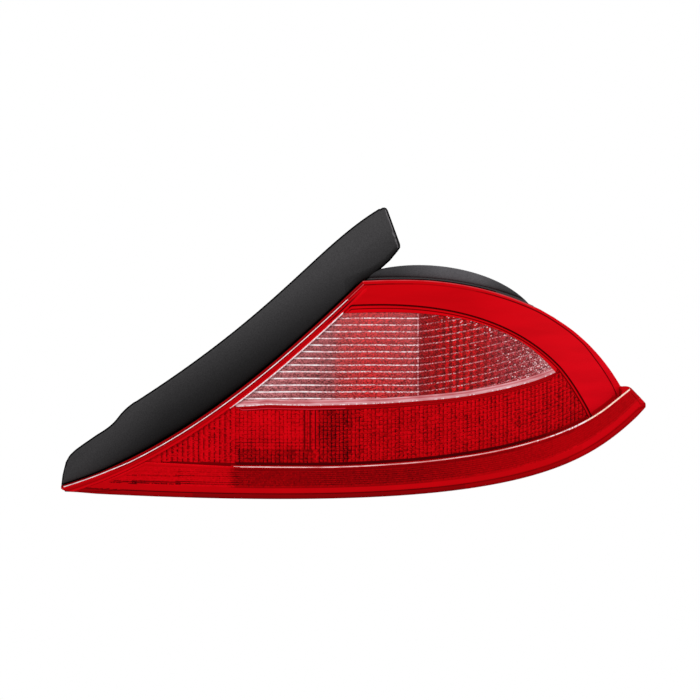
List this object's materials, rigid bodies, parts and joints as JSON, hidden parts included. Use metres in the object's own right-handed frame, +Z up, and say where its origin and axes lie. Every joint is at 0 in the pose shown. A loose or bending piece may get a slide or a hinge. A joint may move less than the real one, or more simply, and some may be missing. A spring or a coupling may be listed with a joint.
{
  "type": "tail light cluster",
  "caption": "Wedge-shaped rear lamp for a car: red lens with a clear fluted window, projecting lower lip, black housing, stud mounting and a satin black corner trim.",
  "frame": {"origin": "centre of the rectangle of four studs, on the plane where the foam gasket and the stud bosses meet the body panel", "axes": "+X along the lamp towards its tall rounded end, +Y out of the lamp's back along the studs, +Z up; the lens faces -Y"},
  "size_m": [0.4668, 0.1295, 0.2322],
  "materials": {
    "red_lens": "clear red acrylic, glossy",
    "clear_window": "clear acrylic, glossy, fluted",
    "reflex_strip": "red acrylic with prisms",
    "lens_sealant": "butyl sealant",
    "lamp_housing": "black moulded plastic, fine grain",
    "reflector": "metallised plastic",
    "reflector_screws": "zinc plated",
    "corner_trim": "satin black moulded plastic",
    "trim_clips": "spring steel",
    "body_gasket": "closed-cell foam",
    "breather_caps": "moulded rubber",
    "mounting_studs": "zinc plated",
    "bulb_carrier": "white moulded plastic",
    "carrier_seal": "soft rubber",
    "carrier_screws": "zinc plated",
    "bulb_sockets": "plated steel",
    "earth_strip": "stamped brass",
    "live_strips": "stamped brass",
    "connector_pins": "tinned brass",
    "turn_bulb_glass": "amber glass",
    "reverse_bulb_glass": "clear glass",
    "stop_bulb_glass": "clear glass",
    "fog_bulb_glass": "clear glass",
    "turn_bulb_cap": "nickel plated brass",
    "reverse_bulb_cap": "nickel plated brass",
    "stop_bulb_cap": "nickel plated brass",
    "fog_bulb_cap": "nickel plated brass",
    "cap_insulators": "black glass",
    "bulb_contacts": "solder",
    "filaments": "tungsten wire"
  },
  "bodies": {
    "root": {"red_lens": "red_lens", "clear_window": "clear_window", "reflex_strip": "reflex_strip", "lens_sealant": "lens_sealant", "lamp_housing": "lamp_housing", "reflector": "reflector", "reflector_screws": "reflector_screws", "corner_trim": "corner_trim", "trim_clips": "trim_clips", "body_gasket": "body_gasket", "breather_caps": "breather_caps", "mounting_studs": "mounting_studs", "bulb_carrier": "bulb_carrier", "carrier_seal": "carrier_seal", "carrier_screws": "carrier_screws", "bulb_sockets": "bulb_sockets", "earth_strip": "earth_strip", "live_strips": "live_strips", "connector_pins": "connector_pins", "turn_bulb_glass": "turn_bulb_glass", "reverse_bulb_glass": "reverse_bulb_glass", "stop_bulb_glass": "stop_bulb_glass", "fog_bulb_glass": "fog_bulb_glass", "turn_bulb_cap": "turn_bulb_cap", "reverse_bulb_cap": "reverse_bulb_cap", "stop_bulb_cap": "stop_bulb_cap", "fog_bulb_cap": "fog_bulb_cap", "cap_insulators": "cap_insulators", "bulb_contacts": "bulb_contacts", "filaments": "filaments"}
  },
  "joints": []
}
